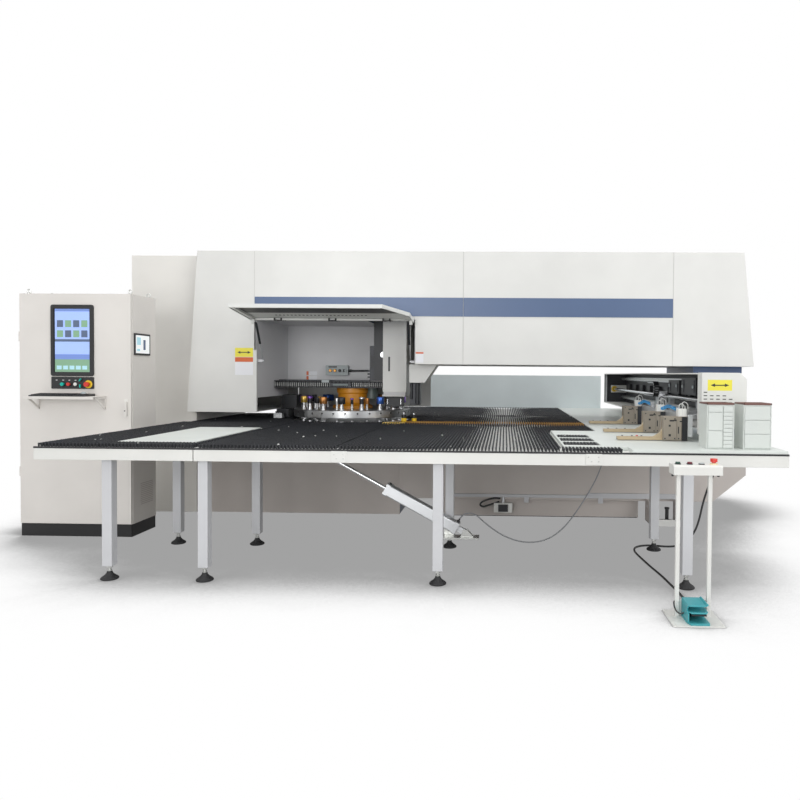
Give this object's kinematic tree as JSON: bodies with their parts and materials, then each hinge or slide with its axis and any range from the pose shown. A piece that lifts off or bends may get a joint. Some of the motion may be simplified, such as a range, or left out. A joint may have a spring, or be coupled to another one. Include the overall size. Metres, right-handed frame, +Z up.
{
  "type": "cnc turret punch press",
  "caption": "Closed-frame turret punch press with brush tables, clamp carriage on a cross beam, gull-wing turret guard, control cabinet, pedal stand and drop flap.",
  "frame": {"origin": "punch axis where it meets the floor", "axes": "+X along the frame, from the turret towards the carriage beam; +Y from the front table to the rear table; +Z up"},
  "size_m": [6.3675, 6.088, 2.535],
  "materials": {
    "white_paint": "fine textured off-white powder coat",
    "grey_paint": "light grey powder coat",
    "frame_paint": "dark blue-grey machine enamel",
    "blue_paint": "satin dark blue paint",
    "dark_metal": "satin black paint",
    "steel_plate": "ground steel plate",
    "bright_steel": "machined steel",
    "chrome_rod": "hard chrome",
    "bristle": "black nylon bristles",
    "black_plastic": "moulded black plastic",
    "cast_yellow": "yellow enamel on a casting",
    "guard_paint": "pale blue-grey powder coat",
    "alu": "anodised aluminium",
    "rubber_black": "matt black rubber",
    "blue_hose": "blue polyurethane",
    "screen_panel": "dark bezel and screen",
    "teal_cast": "teal enamel on a casting",
    "red_plastic": "red moulded plastic",
    "green_plastic": "teal moulded plastic",
    "fence_paint": "grey-green paint"
  },
  "bodies": {
    "machine": {"o_frame": "frame_paint", "left_enclosure": "white_paint", "lower_covers": "grey_paint", "left_cover": "white_paint", "bay_cover": "white_paint", "centre_cover": "white_paint", "right_cover": "white_paint", "blue_band": "blue_paint", "bay_liner": "grey_paint", "button_box": "grey_paint", "ram_housing": "white_paint", "chain_drive": "dark_metal", "left_table": "white_paint", "centre_table": "white_paint", "right_table": "white_paint", "rear_table": "white_paint", "front_brushes": "bristle", "rear_brushes": "bristle", "plain_plates": "steel_plate", "table_legs": "grey_paint", "levelling_feet": "rubber_black", "rear_guard": "fence_paint", "cabinet_shell": "white_paint", "cylinder_bracket": "dark_metal", "air_hose": "rubber_black", "pendant_stand": "white_paint", "pedal_guard": "teal_cast", "pendant_cable": "rubber_black", "tool_drawers": "white_paint"},
    "turret": {"upper_turret": "bright_steel", "turret_tools": "bright_steel", "turret_hub": "cast_yellow"},
    "lower_turret": {"lower_turret": "bright_steel"},
    "ram": {"ram": "chrome_rod"},
    "gull_guard": {"gull_cover": "guard_paint"},
    "strut_rods": {"strut_rods": "chrome_rod"},
    "strut_barrels": {"strut_barrels": "dark_metal"},
    "carriage_beam": {"beam_housing": "grey_paint", "beam_end_cover": "white_paint", "ball_screw": "bright_steel"},
    "clamp_carriage": {"cross_carriage": "bright_steel", "clamp_bodies": "bright_steel", "cable_chain": "black_plastic", "air_coils": "blue_hose"},
    "clamp_jaws": {"clamp_jaws": "bright_steel"},
    "cabinet_door": {"cabinet_door": "white_paint", "operator_panel": "screen_panel", "keyboard_shelf": "white_paint", "keyboard": "black_plastic"},
    "door_handle": {"door_handle": "white_paint"},
    "start_button": {"start_button": "green_plastic"},
    "stop_button": {"stop_button": "red_plastic"},
    "cabinet_estop": {"cabinet_estop": "red_plastic"},
    "drop_flap": {"drop_flap": "bristle"},
    "cylinder_barrel": {"cylinder_barrel": "alu"},
    "cylinder_rod": {"cylinder_rod": "chrome_rod"},
    "stand_button_left": {"stand_button_left": "black_plastic"},
    "stand_button_right": {"stand_button_right": "red_plastic"},
    "stand_estop": {"stand_estop": "red_plastic"},
    "pedal_lever": {"pedal_lever": "black_plastic"}
  },
  "joints": [
    {"name": "turret_spin", "type": "hinge", "parent": "machine", "child": "turret", "pos_m": [-0.5, 0, 0.97], "axis": [0, 0, 1], "continuous": true},
    {"name": "lower_turret_spin", "type": "hinge", "parent": "machine", "child": "lower_turret", "pos_m": [-0.5, 0, 0.84], "axis": [0, 0, 1], "continuous": true},
    {"name": "ram_stroke", "type": "slide", "parent": "machine", "child": "ram", "axis": [0, 0, -1], "range_m": [0, 0.037]},
    {"name": "gull_swing", "type": "hinge", "parent": "machine", "child": "gull_guard", "pos_m": [-0.5, -0.745, 1.878], "axis": [1, 0, 0], "range_deg": [0, 96]},
    {"name": "strut_swing", "type": "hinge", "parent": "machine", "child": "strut_rods", "pos_m": [-0.5, -0.65, 1.49], "axis": [1, 0, 0], "range_deg": [-19.71, 0.1]},
    {"name": "strut_stroke", "type": "slide", "parent": "strut_rods", "child": "strut_barrels", "axis": [0, -0.4784, 0.8782], "range_m": [-0.0988, 0.0002]},
    {"name": "beam_travel", "type": "slide", "parent": "machine", "child": "carriage_beam", "axis": [-1, 0, 0], "range_m": [0, 1.25]},
    {"name": "clamp_travel", "type": "slide", "parent": "carriage_beam", "child": "clamp_carriage", "axis": [0, 1, 0], "range_m": [0, 2.5]},
    {"name": "jaw_swing", "type": "hinge", "parent": "clamp_carriage", "child": "clamp_jaws", "pos_m": [2.294, -1.481, 0.986], "axis": [0, 1, 0], "range_deg": [0, 6]},
    {"name": "door_swing", "type": "hinge", "parent": "machine", "child": "cabinet_door", "pos_m": [-2.923, -1.605, 1.06], "axis": [0, 0, -1], "range_deg": [0, 110]},
    {"name": "handle_turn", "type": "hinge", "parent": "cabinet_door", "child": "door_handle", "pos_m": [-2.02, -1.615, 1.112], "axis": [0, 1, 0], "range_deg": [0, 90]},
    {"name": "start_press", "type": "slide", "parent": "cabinet_door", "child": "start_button", "axis": [0, 1, 0], "range_m": [0, 0.004], "stiffness_N_per_m": 900, "springref_m": -0.004},
    {"name": "stop_press", "type": "slide", "parent": "cabinet_door", "child": "stop_button", "axis": [0, 1, 0], "range_m": [0, 0.004], "stiffness_N_per_m": 900, "springref_m": -0.004},
    {"name": "cabinet_estop_press", "type": "slide", "parent": "cabinet_door", "child": "cabinet_estop", "axis": [0, 1, 0], "range_m": [0, 0.005], "stiffness_N_per_m": 900, "springref_m": -0.004},
    {"name": "flap_drop", "type": "hinge", "parent": "machine", "child": "drop_flap", "pos_m": [0.02, -1.77, 0.866], "axis": [0, -1, 0], "range_deg": [0, 25]},
    {"name": "cylinder_swing", "type": "hinge", "parent": "machine", "child": "cylinder_barrel", "pos_m": [0.803, -1.87, 0.142], "axis": [0, -1, 0], "range_deg": [-0.1, 3.39]},
    {"name": "cylinder_stroke", "type": "slide", "parent": "cylinder_barrel", "child": "cylinder_rod", "axis": [-0.8793, 0, 0.4763], "range_m": [-0.1298, 0.0002]},
    {"name": "stand_left_press", "type": "slide", "parent": "machine", "child": "stand_button_left", "axis": [0, 0, -1], "range_m": [0, 0.004], "stiffness_N_per_m": 900, "springref_m": -0.004},
    {"name": "stand_right_press", "type": "slide", "parent": "machine", "child": "stand_button_right", "axis": [0, 0, -1], "range_m": [0, 0.004], "stiffness_N_per_m": 900, "springref_m": -0.004},
    {"name": "stand_estop_press", "type": "slide", "parent": "machine", "child": "stand_estop", "axis": [0, 0, -1], "range_m": [0, 0.005], "stiffness_N_per_m": 900, "springref_m": -0.004},
    {"name": "pedal_press", "type": "hinge", "parent": "machine", "child": "pedal_lever", "pos_m": [2.185, -3.288, 0.036], "axis": [1, 0, 0], "range_deg": [0, 8], "stiffness_Nm_per_rad": 6, "springref_deg": -11.46}
  ],
  "couplings": [
    {"joint": "lower_turret_spin", "follows": "turret_spin", "ratio": 1},
    {"joint": "strut_swing", "follows": "gull_swing", "ratio": -0.20321},
    {"joint": "strut_stroke", "follows": "gull_swing", "m_per_rad": -0.058657},
    {"joint": "cylinder_swing", "follows": "flap_drop", "ratio": 0.13161},
    {"joint": "cylinder_stroke", "follows": "flap_drop", "m_per_rad": -0.29624}
  ]
}
